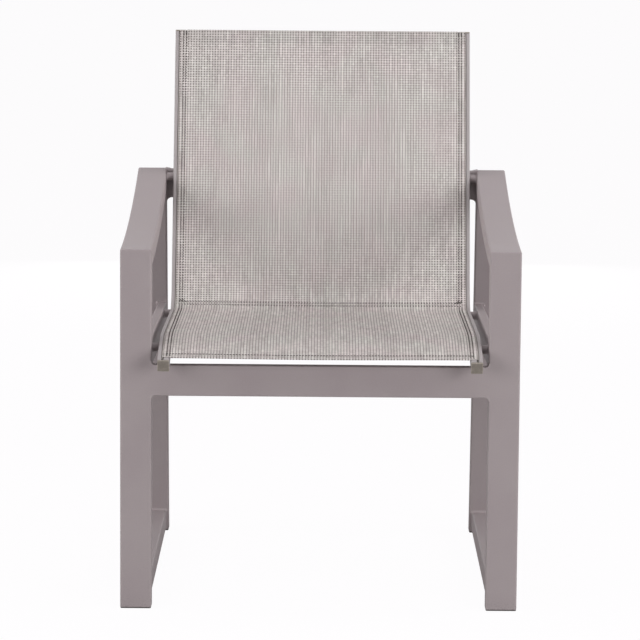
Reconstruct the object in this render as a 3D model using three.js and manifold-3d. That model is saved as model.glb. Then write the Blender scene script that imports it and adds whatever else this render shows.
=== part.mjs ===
// A sling patio chair: two welded side frames of rectangular tube, two crossbars between them, and a woven
// sling stretched between two bent rails that stand clear of the frames on spacers.
// Millimetres. +Z is up, +Y is to the back, and the sitter's left is +X. The origin is on the floor, in the
// middle of the chair's width and depth. While it is built, y is measured from the front of the front legs.

import * as THREE from "three";
import { mergeVertices } from "three/addons/utils/BufferGeometryUtils.js";
import Module from "manifold-3d";

const wasm = await Module();
wasm.setup();

// Side frames

const overallWidth = 640;
const tubeWidth = 50;
const tubeDepth = 30;
const tubeWall = 1.5;
const jointGap = 0.3;

const armFrontHeight = 584;
const armRearHeight = 663;
const armBowRadius = 2425;
const frameDepth = 660;
const rearLegRake = THREE.MathUtils.degToRad(9.76);

const floorRailWidth = 40;
const floorRailHeight = 36;

const sideRailWidth = 15;
const sideRailHeight = 50;
const sideRailInset = 0.5;
const sideRailFall = THREE.MathUtils.degToRad(1.8);

// Crossbars

const crossbarHeight = 50;
const frontCrossbarDepth = 20;
const frontCrossbarBottom = 347.8;
const rearCrossbarDepth = 15;
const rearCrossbarBelowArm = 1.5;
const rearCrossbarClearance = 1.6;

// Sling rails, seen from the side along the surface that the sling lies on

const railWidth = 19;
const railDepth = 20;
const noseReach = 50;
const noseTipHeight = 412.3;
const noseAngle = THREE.MathUtils.degToRad(22.5);
const noseRadius = 350;
const seatFall = THREE.MathUtils.degToRad(1.6);
const bendRadius = 50;
const backLean = THREE.MathUtils.degToRad(13.5);
const backHeight = 902;
const backNarrowing = 1.8;

const slotWidth = 4;
const slotFromOuterFace = 8;
const channelTop = 2.6;
const channelDepth = 7;
const channelWidth = 8;
const chamberTop = 11;
const chamberDepth = 7.5;
const chamberWidth = 16;

// Sling

const slingThickness = 1.2;
const slingClearance = 0.3;
const seatSlingSetback = 10;
const backSlingSetback = 0.5;
const seamIntoBendShare = 0.42;
const splineWidth = 6;
const splineClearance = 0.4;

// Fastenings

const boltDiameter = 6;
const boltClearance = 0.3;
const boltEnd = 1.5;
const boltHeadDiameter = 10.5;
const boltHeadHeight = 3.3;
const boltSocketAcross = 4;
const boltSocketDepth = 2;
const boltHeadRadiusShares = [1, 0.94, 0.76, 0.5];
const boltHeadHeightShares = [0, 0.45, 0.82, 1];
const spacerDiameter = 14;
const seatSpacerLength = 11.6;
const nutAcross = 10;
const nutHeight = 6;
const nutHeadroom = 0.7;
const frontBoltFromNose = 90;
const rearBoltIntoBend = 21;
const upperBoltBelowArm = 7.9;
const upperBoltSetback = 7.9;

// Plugs and feet

const capThickness = 2.5;
const plugLength = 12;
const plugClearance = 0.3;
const glideThickness = 2;
const glideInset = 0.5;

// Fineness of the curves, and how far every cut runs past what it cuts

const roundSides = 24;
const hexSides = 6;
const armSteps = 12;
const curveSag = 0.1;
const cutOverrun = 5;

// Finishes

const powderCoat = { color: "#978d8e", roughness: 0.5, metalness: 0.2 };
const slingMesh = { color: "#b6b0ae", roughness: 0.85, metalness: 0 };
const capPlastic = { color: "#7b716d", roughness: 0.55, metalness: 0 };
const splinePlastic = { color: "#d8d4cc", roughness: 0.6, metalness: 0 };
const glidePlastic = { color: "#4a4544", roughness: 0.65, metalness: 0 };
const stainlessSteel = { color: "#b9b8b5", roughness: 0.3, metalness: 1 };

// Solids

/** The solid inside a closed geometry. */
function solidOf(geometry) {
  const bare = geometry.clone();
  bare.deleteAttribute("normal");
  bare.deleteAttribute("uv");
  const merged = mergeVertices(bare);
  return new wasm.Manifold(
    new wasm.Mesh({
      numProp: 3,
      vertProperties: merged.attributes.position.array,
      triVerts: new Uint32Array(merged.index.array),
    }),
  );
}

/** The geometry round a solid. */
function geometryOf(solid) {
  const mesh = solid.getMesh();
  const geometry = new THREE.BufferGeometry();
  geometry.setAttribute("position", new THREE.BufferAttribute(mesh.vertProperties, 3));
  geometry.setIndex(new THREE.BufferAttribute(mesh.triVerts, 1));
  geometry.computeVertexNormals();
  return geometry;
}

/** The solid with an outline of [y, z] points seen from the side, from one x to another. */
function sidePrism(outline, [inner, outer]) {
  const shape = new THREE.Shape(outline.map(([y, z]) => new THREE.Vector2(y, z)));
  const geometry = new THREE.ExtrudeGeometry(shape, { depth: outer - inner, bevelEnabled: false });
  const sideOn = new THREE.Matrix4().makeBasis(
    new THREE.Vector3(0, 1, 0),
    new THREE.Vector3(0, 0, 1),
    new THREE.Vector3(1, 0, 0),
  );
  geometry.applyMatrix4(sideOn);
  geometry.translate(inner, 0, 0);
  return solidOf(geometry);
}

/** A box given by its spans along x, y and z. */
function boxSolid(...spans) {
  const geometry = new THREE.BoxGeometry(...spans.map(([low, high]) => high - low));
  geometry.translate(...spans.map(([low, high]) => (low + high) / 2));
  return solidOf(geometry);
}

/** A solid turned about a line along x through [y, z], from a profile of [radius, x] points. */
function turnedSolid(profile, [y, z], sides = roundSides) {
  const points = profile.map(([radius, x]) => new THREE.Vector2(radius, x));
  const geometry = new THREE.LatheGeometry(points, sides);
  geometry.rotateZ(-Math.PI / 2);
  geometry.translate(0, y, z);
  return solidOf(geometry);
}

/** A rod along x through [y, z], from one x to another. */
function rodSolid(diameter, [start, end], place, sides = roundSides) {
  const radius = diameter / 2;
  const profile = [
    [0, start],
    [radius, start],
    [radius, end],
    [0, end],
  ];
  return turnedSolid(profile, place, sides);
}

/** A span made wider at both ends, or narrower by a negative amount. */
const widened = ([low, high], amount) => [low - amount, high + amount];

/** A span of a width about a middle. */
const centred = (middle, width) => [middle - width / 2, middle + width / 2];

// Side frame outlines

const frameOuter = overallWidth / 2;
const frameInner = frameOuter - tubeWidth;
const frameBase = glideThickness + jointGap;
const frameSpan = [frameInner, frameOuter];
const boreSpan = widened(frameSpan, -tubeWall);

/** The y of the front leg at a depth from its front face. */
function frontLegY(_height, depth) {
  return depth;
}

/** The y of the rear leg at a height and at a depth from its rear face. */
function rearLegY(height, depth) {
  return frameDepth - height * Math.tan(rearLegRake) - depth / Math.cos(rearLegRake);
}

// The arm's upper face is an arc between its two upper corners, bowed downwards.
const armFront = new THREE.Vector2(0, armFrontHeight);
const armRear = new THREE.Vector2(rearLegY(armRearHeight, 0), armRearHeight);
const armChord = armRear.clone().sub(armFront);
const armRise = Math.sqrt(armBowRadius ** 2 - armChord.lengthSq() / 4);
const armCentre = armFront
  .clone()
  .lerp(armRear, 1 / 2)
  .add(new THREE.Vector2(-armChord.y, armChord.x).setLength(armRise));

/** The height of the arm at y, at a depth below its upper face. */
function armHeight(y, depth) {
  return armCentre.y - Math.sqrt((armBowRadius + depth) ** 2 - (y - armCentre.x) ** 2);
}

/** The front mitre's line, as the [y, z] point at a depth from the arm's and the leg's outer faces. */
function frontMitre(depth) {
  return [depth, armHeight(depth, depth)];
}

/** The [y, z] point where the rear leg's straight at one depth meets the arm's arc at another. */
function rearCrossing(legDepth, armDepth) {
  const foot = new THREE.Vector2(rearLegY(0, legDepth), 0);
  const up = new THREE.Vector2(-Math.sin(rearLegRake), Math.cos(rearLegRake));
  const toCentre = armCentre.clone().sub(foot);
  const along = toCentre.dot(up);
  const radius = armBowRadius + armDepth;
  const reach = along - Math.sqrt(along ** 2 - toCentre.lengthSq() + radius ** 2);
  return foot.addScaledVector(up, reach).toArray();
}

/** The rear mitre's line, as the [y, z] point at a depth from the arm's and the leg's outer faces. */
function rearMitre(depth) {
  return rearCrossing(depth, depth);
}

/** The arm's outline between two depths, with both ends run past the mitres by an overrun. */
function armOutline(top, bottom, overrun = 0) {
  const arc = (depth) =>
    Array.from({ length: armSteps + 1 }, (_, step) => {
      const [start] = frontMitre(depth);
      const [end] = rearMitre(depth);
      const y = THREE.MathUtils.lerp(start - overrun, end + overrun, step / armSteps);
      return [y, armHeight(y, depth)];
    });
  return [...arc(bottom), ...arc(top).reverse()];
}

/** A leg's outline between two depths, given its face, the top point at each depth and its foot's height. */
function legOutline(legY, mitre, [outer, inner], foot, drop) {
  const top = (depth) => {
    const [, height] = mitre(depth);
    return [legY(height - drop, depth), height - drop];
  };
  return [[legY(foot, outer), foot], [legY(foot, inner), foot], top(inner), top(outer)];
}

/** The outline of a straight rail between the legs, from the height of its top at the front leg. */
function railOutline({ frontTop, height, fall }, wall = 0, endGap = jointGap) {
  const slope = Math.tan(fall);
  const rake = Math.tan(rearLegRake);
  const line = (drop) => {
    const atLeg = frontTop - drop / Math.cos(fall);
    const heightAt = (y) => atLeg - (y - tubeDepth) * slope;
    const start = tubeDepth + endGap;
    const end = (rearLegY(heightAt(0), tubeDepth) - endGap) / (1 - slope * rake);
    return [
      [start, heightAt(start)],
      [end, heightAt(end)],
    ];
  };
  return [...line(height - wall), ...line(wall).reverse()];
}

const armTube = sidePrism(armOutline(0, tubeDepth), frameSpan).subtract(
  sidePrism(armOutline(tubeWall, tubeDepth - tubeWall, cutOverrun), boreSpan),
);

/** A leg's tube, cut off below the arm's mitre and open at both ends. */
function legTube(legY, mitre) {
  const outline = legOutline(legY, mitre, [0, tubeDepth], frameBase, jointGap * Math.SQRT2);
  const walls = [tubeWall, tubeDepth - tubeWall];
  const bore = legOutline(legY, mitre, walls, frameBase - cutOverrun, -tubeDepth);
  return sidePrism(outline, frameSpan).subtract(sidePrism(bore, boreSpan));
}

/** A rail's tube between the legs, open at both ends. */
function railTube(rail, span) {
  const bore = railOutline(rail, tubeWall, -cutOverrun);
  return sidePrism(railOutline(rail), span).subtract(sidePrism(bore, widened(span, -tubeWall)));
}

const floorRail = { frontTop: frameBase + floorRailHeight, height: floorRailHeight, fall: 0 };
const floorRailSpan = centred(frameOuter - tubeWidth / 2, floorRailWidth);

const sideRailInner = frameInner + sideRailInset;
const sideRailSpan = [sideRailInner, sideRailInner + sideRailWidth];

/** A crossbar's tube between the side frames, open at both ends. */
function crossbarTube(front, depth, bottom) {
  const length = centred(0, 2 * (frameInner - jointGap));
  const ySpan = [front, front + depth];
  const zSpan = [bottom, bottom + crossbarHeight];
  const bore = [ySpan, zSpan].map((span) => widened(span, -tubeWall));
  return boxSolid(length, ySpan, zSpan).subtract(boxSolid(widened(length, cutOverrun), ...bore));
}

// Side line of the sling rails: what lies on or in them is placed by a distance along it and a depth below it.

/** A line seen from the side that starts at a point and runs on through straights and arcs. */
class SideLine {
  constructor(start, heading, runs) {
    this.runs = [];
    let next = { start, heading, from: 0 };
    for (const { length, turn } of runs) {
      const run = { ...next, length, turn };
      this.runs.push(run);
      const { point } = this.place(run, length);
      next = { start: point, heading: heading + turn, from: next.from + length };
      heading = next.heading;
    }
    this.length = next.from;
  }

  /** The point and the upward normal at a distance into one run. */
  place({ start: [y, z], heading, length, turn }, distance) {
    const angle = heading + (turn * distance) / length;
    const normal = [-Math.sin(angle), Math.cos(angle)];
    if (turn === 0) return { point: [y + distance * normal[1], z - distance * normal[0]], normal };
    const radius = length / turn;
    const across = radius * (Math.sin(angle) - Math.sin(heading));
    const up = radius * (Math.cos(heading) - Math.cos(angle));
    return { point: [y + across, z + up], normal };
  }

  /** The [y, z] point at a distance along the line and a depth below it. */
  at(distance, depth) {
    const run = this.runs.findLast(({ from }) => distance >= from) ?? this.runs[0];
    const { point, normal } = this.place(run, distance - run.from);
    return point.map((value, axis) => value - depth * normal[axis]);
  }

  /** The distances at which an outline between two distances needs a point. */
  stations([from, to]) {
    const found = this.runs.flatMap(({ length, turn, from }) => {
      const stepTurn = 2 * Math.acos(1 - (curveSag * Math.abs(turn)) / length);
      const steps = turn === 0 ? 1 : Math.ceil(Math.abs(turn) / stepTurn);
      return Array.from({ length: steps }, (_, step) => from + (length * step) / steps);
    });
    return [from, ...found.filter((distance) => distance > from && distance < to), to];
  }

  /** The solid that fills a span of distances, a span of depths and a span of x. */
  band(distances, [top, bottom], span) {
    const stations = this.stations(distances);
    const below = stations.map((distance) => this.at(distance, bottom));
    const above = stations.map((distance) => this.at(distance, top));
    return sidePrism([...below, ...above.reverse()], span);
  }
}

// The upper bolt ties the rail to the corner of the arm and the rear leg, and so places the back.
const boltDepth = chamberTop + chamberDepth / 2;
const upperBolt = rearCrossing(tubeDepth - upperBoltSetback, upperBoltBelowArm);

const backHeading = Math.PI / 2 - backLean;
const noseTurn = noseAngle + seatFall;
const bendTurn = backHeading + seatFall;
const bendTangent = bendRadius * Math.tan(bendTurn / 2);
const noseRun = { length: noseRadius * noseTurn, turn: -noseTurn };
const noseTip = [-noseReach, noseTipHeight];
const seatStart = new SideLine(noseTip, noseAngle, [noseRun]).at(noseRun.length, 0);

/** How far the seat's straight runs to where the back's straight would cross it. */
function seatToBackCrossing() {
  const [startY, startZ] = seatStart;
  const [boltY, boltZ] = upperBolt;
  const ahead = boltY - boltDepth * Math.sin(backHeading) - startY;
  const above = boltZ + boltDepth * Math.cos(backHeading) - startZ;
  const cross = ahead * Math.sin(backHeading) - above * Math.cos(backHeading);
  return cross / Math.sin(bendTurn);
}

const seatCrossing = seatToBackCrossing();
const crossingHeight = seatStart[1] - seatCrossing * Math.sin(seatFall);
const railRuns = [
  noseRun,
  { length: seatCrossing - bendTangent, turn: 0 },
  { length: bendRadius * bendTurn, turn: bendTurn },
  { length: (backHeight - crossingHeight) / Math.sin(backHeading) - bendTangent, turn: 0 },
];
const railLine = new SideLine(noseTip, noseAngle, railRuns);
const [, , bendRun, backRun] = railLine.runs;

const railOuter = sideRailInner - seatSpacerLength - 2 * jointGap;
const railSpan = [railOuter - railWidth, railOuter];
const railReach = widened([0, railLine.length], -capThickness - jointGap);
const slotMiddle = railOuter - slotFromOuterFace;
const channel = [channelTop, channelTop + channelDepth];
const chamber = [chamberTop, chamberTop + chamberDepth];
const chamberSpan = centred(railOuter - railWidth / 2, chamberWidth);

/** The x on the back that a given x on the seat comes to at a height, as the rails draw together upwards. */
function narrowed(x, height) {
  const [, low] = backRun.start;
  const share = THREE.MathUtils.clamp((height - low) / (backHeight - low), 0, 1);
  return x * (1 - (share * backNarrowing) / railOuter);
}

/** The geometry of a solid on the rails, drawn together towards the top of the back. */
function narrowedGeometry(solid) {
  const geometry = geometryOf(solid);
  const { position } = geometry.attributes;
  for (let index = 0; index < position.count; index += 1)
    position.setX(index, narrowed(position.getX(index), position.getZ(index)));
  geometry.computeVertexNormals();
  return geometry;
}

// Fastenings: each passes through the rail and a spacer into a nut behind the frame's inner wall.

const fastenings = [
  { name: "front", place: railLine.at(frontBoltFromNose, boltDepth), seatOn: sideRailInner },
  { name: "rear", place: railLine.at(bendRun.from + rearBoltIntoBend, boltDepth), seatOn: sideRailInner },
  { name: "upper", place: upperBolt, seatOn: frameInner },
];
const boltHole = boltDiameter + 2 * boltClearance;

/** A solid with a hole for each of some fastenings, from one x to another. */
function drilled(solid, chosen, span) {
  return chosen.reduce((rest, { place }) => rest.subtract(rodSolid(boltHole, span, place)), solid);
}

/** A round or six-sided ring on a fastening, from one x to another. */
function ringSolid(diameter, [start, end], place, sides = roundSides) {
  const hole = rodSolid(boltHole, widened([start, end], cutOverrun), place);
  return rodSolid(diameter, [start, end], place, sides).subtract(hole);
}

function spacerSolid({ place, seatOn }) {
  const [, height] = place;
  const span = [narrowed(railOuter, height) + jointGap, seatOn - jointGap];
  return ringSolid(spacerDiameter, span, place);
}

/** Where a fastening's nut starts and ends, behind the wall that it pulls on. */
function nutSpan({ seatOn }) {
  const start = seatOn + tubeWall + jointGap;
  return [start, start + nutHeight];
}

/** The diameter round the corners of a hexagon, from the distance across its flats. */
const acrossCorners = (acrossFlats) => acrossFlats / Math.cos(Math.PI / hexSides);

function nutSolid(fastening) {
  return ringSolid(acrossCorners(nutAcross), nutSpan(fastening), fastening.place, hexSides);
}

// The side rail's top runs just high enough for the rear nut to fit below its wall.
const [, { place: rearBolt }] = fastenings;
const sideRailFrontTop =
  rearBolt[1] +
  (rearBolt[0] - tubeDepth) * Math.tan(sideRailFall) +
  (tubeWall + nutHeadroom + acrossCorners(nutAcross) / 2) / Math.cos(sideRailFall);
const sideRail = { frontTop: sideRailFrontTop, height: sideRailHeight, fall: sideRailFall };

/** A button-head bolt with a hex socket, its head against the rail's inner face. */
function boltSolid(fastening) {
  const [, height] = fastening.place;
  const [, nutEnd] = nutSpan(fastening);
  const seat = narrowed(railOuter - railWidth, height) - jointGap;
  const headTop = seat - boltHeadHeight;
  const dome = boltHeadRadiusShares.map((share, index) => [
    (share * boltHeadDiameter) / 2,
    seat - boltHeadHeightShares[index] * boltHeadHeight,
  ]);
  const shank = [
    [boltDiameter / 2, seat],
    [boltDiameter / 2, nutEnd + boltEnd],
    [0, nutEnd + boltEnd],
  ];
  const profile = [[0, headTop], ...dome.reverse(), ...shank];
  const socketSpan = [headTop - cutOverrun, headTop + boltSocketDepth];
  const socket = rodSolid(acrossCorners(boltSocketAcross), socketSpan, fastening.place, hexSides);
  return turnedSolid(profile, fastening.place).subtract(socket);
}

// Sling rails and what they hold

const slingRail = railLine
  .band(railReach, [0, railDepth], railSpan)
  .subtract(
    railLine.band(
      widened(railReach, cutOverrun),
      [-cutOverrun, channelTop + channelDepth / 2],
      centred(slotMiddle, slotWidth),
    ),
  )
  .subtract(railLine.band(widened(railReach, cutOverrun), channel, centred(slotMiddle, channelWidth)))
  .subtract(railLine.band(widened(railReach, cutOverrun), chamber, chamberSpan));

/** The part of a span of distances that lies inside the slot, clear of the plates that close its ends. */
function inSlot([from, to]) {
  return [Math.max(from, railReach[0]), Math.min(to, railReach[1])];
}

/** A sling panel: the sheet over both rails, with an edge turned down into each rail's slot. */
function slingSolid(distances) {
  const sheet = [-slingClearance - slingThickness, -slingClearance];
  const edge = [-slingClearance - slingThickness / 2, channelTop];
  const halfWidth = slotMiddle + slingThickness / 2;
  return [slotMiddle, -slotMiddle].reduce(
    (panel, middle) => panel.add(railLine.band(inSlot(distances), edge, centred(middle, slingThickness))),
    railLine.band(distances, sheet, [-halfWidth, halfWidth]),
  );
}

function splineSolid(distances) {
  const depths = [channelTop + splineClearance, channelTop + splineClearance + splineWidth];
  return railLine.band(inSlot(distances), depths, centred(slotMiddle, splineWidth));
}

/** The plug in a rail's end: a plate over the end and a tongue in the lower chamber. */
function capSolid([plateStart, plateEnd], [tongueStart, tongueEnd]) {
  const tongueDepths = widened(chamber, -plugClearance);
  const tongueSpan = widened(chamberSpan, -plugClearance);
  return railLine
    .band([plateStart, plateEnd], [0, railDepth], railSpan)
    .add(railLine.band([tongueStart, tongueEnd], tongueDepths, tongueSpan));
}

const seam = bendRun.from + seamIntoBendShare * bendRun.length;
const seatPanel = [seatSlingSetback, seam - jointGap / 2];
const backPanel = [seam + jointGap / 2, railLine.length - backSlingSetback];
const frontCap = capSolid([0, capThickness], [capThickness / 2, railReach[0] + plugLength]);
const topCap = capSolid(
  [railLine.length - capThickness, railLine.length],
  [railReach[1] - plugLength, railLine.length - capThickness / 2],
);

// Feet

/** A foot glide: a plate under the leg's end and a plug inside its tube. */
function glideSolid(legY) {
  const corners = ([outer, inner], [low, high]) => [
    [legY(low, outer), low],
    [legY(low, inner), low],
    [legY(high, inner), high],
    [legY(high, outer), high],
  ];
  const plate = corners(widened([0, tubeDepth], -glideInset), [0, glideThickness]);
  const plugSides = widened([tubeWall, tubeDepth - tubeWall], -plugClearance);
  const plug = corners(plugSides, [glideThickness / 2, frameBase + plugLength]);
  return sidePrism(plate, widened(frameSpan, -glideInset)).add(
    sidePrism(plug, widened(boreSpan, -plugClearance)),
  );
}

// The chair

const chair = new THREE.Group();

/** Adds one named piece to the chair. */
function addPiece(name, geometry, finish) {
  const piece = new THREE.Mesh(geometry, new THREE.MeshStandardMaterial(finish));
  piece.name = name;
  chair.add(piece);
  return piece;
}

/** Adds a piece on the sitter's left and its mirror image on the right. */
function addPair(name, geometry, finish) {
  addPiece(`left_${name}`, geometry, finish);
  addPiece(`right_${name}`, geometry, finish).scale.setX(-1);
}

const lowFastenings = fastenings.filter(({ seatOn }) => seatOn === sideRailInner);
const highFastenings = fastenings.filter(({ seatOn }) => seatOn === frameInner);
const innerWall = [frameInner - cutOverrun, frameInner + tubeWall + cutOverrun];
const upperDrilled = (solid) => geometryOf(drilled(solid, highFastenings, innerWall));
const sideRailWall = [sideRailInner - cutOverrun, sideRailInner + sideRailWidth / 2];

addPair("front_leg", geometryOf(legTube(frontLegY, frontMitre)), powderCoat);
addPair("arm", upperDrilled(armTube), powderCoat);
addPair("rear_leg", upperDrilled(legTube(rearLegY, rearMitre)), powderCoat);
addPair("floor_rail", geometryOf(railTube(floorRail, floorRailSpan)), powderCoat);
addPair(
  "side_rail",
  geometryOf(drilled(railTube(sideRail, sideRailSpan), lowFastenings, sideRailWall)),
  powderCoat,
);

const rearCrossbarTop = armRearHeight - rearCrossbarBelowArm;
const backFaceAhead = (rearCrossbarTop - crossingHeight) / Math.tan(backHeading);
const backFace = seatStart[0] + seatCrossing * Math.cos(seatFall) + backFaceAhead;
const rearCrossbarFront = backFace + railDepth / Math.sin(backHeading) + rearCrossbarClearance;

addPiece(
  "front_crossbar",
  geometryOf(crossbarTube(0, frontCrossbarDepth, frontCrossbarBottom)),
  powderCoat,
);
addPiece(
  "rear_crossbar",
  geometryOf(crossbarTube(rearCrossbarFront, rearCrossbarDepth, rearCrossbarTop - crossbarHeight)),
  powderCoat,
);

const drilledRail = drilled(slingRail, fastenings, widened(railSpan, cutOverrun));
addPair("sling_rail", narrowedGeometry(drilledRail), powderCoat);
addPiece("seat_sling", narrowedGeometry(slingSolid(seatPanel)), slingMesh);
addPiece("back_sling", narrowedGeometry(slingSolid(backPanel)), slingMesh);
addPair("seat_spline", narrowedGeometry(splineSolid(seatPanel)), splinePlastic);
addPair("back_spline", narrowedGeometry(splineSolid(backPanel)), splinePlastic);
addPair("front_cap", narrowedGeometry(frontCap), capPlastic);
addPair("top_cap", narrowedGeometry(topCap), capPlastic);

for (const fastening of fastenings) {
  addPair(`${fastening.name}_spacer`, geometryOf(spacerSolid(fastening)), powderCoat);
  addPair(`${fastening.name}_bolt`, geometryOf(boltSolid(fastening)), stainlessSteel);
  addPair(`${fastening.name}_nut`, geometryOf(nutSolid(fastening)), stainlessSteel);
}

addPair("front_glide", geometryOf(glideSolid(frontLegY)), glidePlastic);
addPair("rear_glide", geometryOf(glideSolid(rearLegY)), glidePlastic);

// The origin goes to the middle of the chair's depth.
const box = new THREE.Box3().setFromObject(chair);
chair.position.setY(-(box.min.y + box.max.y) / 2);

export default chair;
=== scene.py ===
"""Dresses a sling patio chair: welded rectangular tube, bent sling rails and a woven mesh sling.

Metres. +Z is up, +Y is to the back, and the sitter's left is +X. The CAD model's nodes are the frame: every
piece here stands where its node stands. Distances along the sling rails run from the tip of their nose, and
depths run down from the surface that the sling lies on.
"""

import logging
import math
from collections.abc import Callable
from dataclasses import dataclass, field
from enum import Enum
from functools import partial

import bpy
import numpy as np
from mathutils import Matrix, Vector


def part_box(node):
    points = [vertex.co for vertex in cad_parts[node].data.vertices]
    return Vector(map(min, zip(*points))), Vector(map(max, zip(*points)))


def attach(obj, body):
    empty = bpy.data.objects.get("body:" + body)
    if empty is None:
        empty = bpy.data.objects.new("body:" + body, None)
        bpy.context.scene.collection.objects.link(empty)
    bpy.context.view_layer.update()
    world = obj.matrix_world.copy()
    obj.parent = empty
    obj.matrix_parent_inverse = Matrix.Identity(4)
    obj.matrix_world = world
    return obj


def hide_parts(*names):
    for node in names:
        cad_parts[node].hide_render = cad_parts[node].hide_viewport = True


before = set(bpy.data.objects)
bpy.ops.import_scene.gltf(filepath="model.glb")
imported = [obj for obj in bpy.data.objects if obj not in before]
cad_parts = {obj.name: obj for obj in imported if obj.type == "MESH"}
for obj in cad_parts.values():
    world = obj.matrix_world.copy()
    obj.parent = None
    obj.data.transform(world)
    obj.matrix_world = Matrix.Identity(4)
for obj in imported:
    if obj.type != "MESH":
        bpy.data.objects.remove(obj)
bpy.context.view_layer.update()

LOG = logging.getLogger("sling_chair")
BODY = "root"
MM = 0.001
FRONT_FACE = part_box("left_front_leg")[0].y
SHARP_ABOVE = math.radians(35)
PLACES = ("front", "rear", "upper")
FOLD_STEPS = 6

Adder = Callable[..., bpy.types.Node]
Array = np.ndarray
Material = bpy.types.Material
Node = bpy.types.Node
Piece = bpy.types.Object
Tree = bpy.types.NodeTree
Inputs = dict[str | int, object]
Pair = tuple[float, float]
Spans = tuple[float, float, float, float]


class Side(Enum):
    """The sitter's two sides, each with the sign of its x."""

    LEFT = 1
    RIGHT = -1

    def named(self, part: str) -> str:
        """The name of this side's node or piece of some kind."""
        return f"{self.name.lower()}_{part}"


class Slot(Enum):
    """The record's material slots."""

    FRAME = "frame_coat"
    SLING = "sling_mesh"
    CAP = "cap_plastic"
    SPLINE = "spline"
    GLIDE = "glide_plastic"
    HARDWARE = "hardware"


# Colours and nodes


def linear(colour: str) -> Spans:
    """Turns an sRGB hex colour into linear light.

    Args:
        colour: A hex colour such as "#978d8e".

    Returns:
        Red, green, blue and an alpha of 1.
    """
    shares = np.array([int(colour[at : at + 2], 16) for at in (1, 3, 5)]) / 255
    low, high = shares / 12.92, ((shares + 0.055) / 1.055) ** 2.4
    return (*np.where(shares <= 0.04045, low, high).tolist(), 1.0)


def add_node(tree: Tree, kind: str, inputs: Inputs | None = None, **settings: object) -> Node:
    """Adds a shader node with its settings and links.

    Args:
        tree: The node tree that it goes into.
        kind: The node's type, without the word ShaderNode.
        inputs: Each input's name or number, with its fixed value, a hex colour, the socket that feeds it, or
            the node that feeds it from its first live output. A Mix node's 6 and 7 are its two colours.
        **settings: The node's own settings.

    Returns:
        The new node.
    """
    node = tree.nodes.new("ShaderNode" + kind)
    for name, value in settings.items():
        setattr(node, name, value)
    for name, value in (inputs or {}).items():
        if isinstance(value, Node):
            value = next(socket for socket in value.outputs if socket.enabled)
        if isinstance(value, bpy.types.NodeSocket):
            tree.links.new(value, node.inputs[name])
        else:
            node.inputs[name].default_value = linear(value) if isinstance(value, str) else value
    return node


def spans(value: object, ends: Spans) -> Inputs:
    """Gives a Map Range node's inputs: a value, and under 1 to 4 the spans that it is mapped from and to."""
    return {"Value": value} | dict(enumerate(ends, start=1))


# Outlines and meshes


def points_at(x: Array, y: Array, z: Array) -> Array:
    """Stacks points from their x, their y behind the front of the legs, and their z."""
    return np.stack(np.broadcast_arrays(x, y + FRONT_FACE, z), axis=-1)


@dataclass(frozen=True)
class Outline:
    """A closed outline, with each point's outward normal and how far into a rounded corner it lies."""

    points: Array
    normals: Array
    edge: Array

    def grown(self, by: Array) -> Array:
        """Moves the outline outwards once for each distance, R by N by 2."""
        return self.points + by[:, None, None] * self.normals


def rounded(corners: Array, radii: Array, steps: int = 6, support: float = 0.4 * MM) -> Outline:
    """Rounds the corners of a closed outline.

    Each corner becomes an arc that touches its two sides. Its centre lies on the line that halves the
    corner, at the radius over the sine of half its angle, and the points turn evenly from side to side. One
    more point lies on each side just past the arc, so that the flats shade flat.

    Args:
        corners: The corners in order, K by 2.
        radii: The radius at each corner.
        steps: How many points each arc has.
        support: How far past the arc the extra points lie.

    Returns:
        The outline, with K times (steps + 2) points.
    """
    back = np.roll(corners, 1, axis=0) - corners
    ahead = np.roll(corners, -1, axis=0) - corners
    back /= np.linalg.norm(back, axis=1, keepdims=True)
    ahead /= np.linalg.norm(ahead, axis=1, keepdims=True)
    half = np.arccos(np.clip((back * ahead).sum(axis=1), -1, 1)) / 2
    inward = back + ahead
    inward /= np.linalg.norm(inward, axis=1, keepdims=True)
    centre = corners + inward * (radii / np.sin(half))[:, None]
    reach = (radii / np.tan(half))[:, None]
    start, end = corners + back * reach, corners + ahead * reach
    turn = np.pi - 2 * half
    share = np.linspace(0, 1, steps)
    from_start = np.sin(np.outer(turn, 1 - share)) / np.sin(turn)[:, None]
    from_end = np.sin(np.outer(turn, share)) / np.sin(turn)[:, None]
    spokes = from_start[..., None] * (start - centre)[:, None] + from_end[..., None] * (end - centre)[:, None]
    before, after = start + back * support, end + ahead * support
    points = np.concatenate([before[:, None], centre[:, None] + spokes, after[:, None]], axis=1)
    normals = spokes / np.linalg.norm(spokes, axis=2, keepdims=True)
    normals = np.concatenate([normals[:, :1], normals, normals[:, -1:]], axis=1)
    edge = np.concatenate([[0], np.sin(np.pi * share), [0]])
    return Outline(points.reshape(-1, 2), normals.reshape(-1, 2), np.tile(edge, len(corners)))


def rounded_rectangle(across: Pair, up: Pair, radius: float) -> Outline:
    """Makes a rectangle with rounded corners, from its span along each axis."""
    corners = np.array([(across[0], up[0]), (across[1], up[0]), (across[1], up[1]), (across[0], up[1])])
    return rounded(corners, np.full(4, radius))


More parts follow.
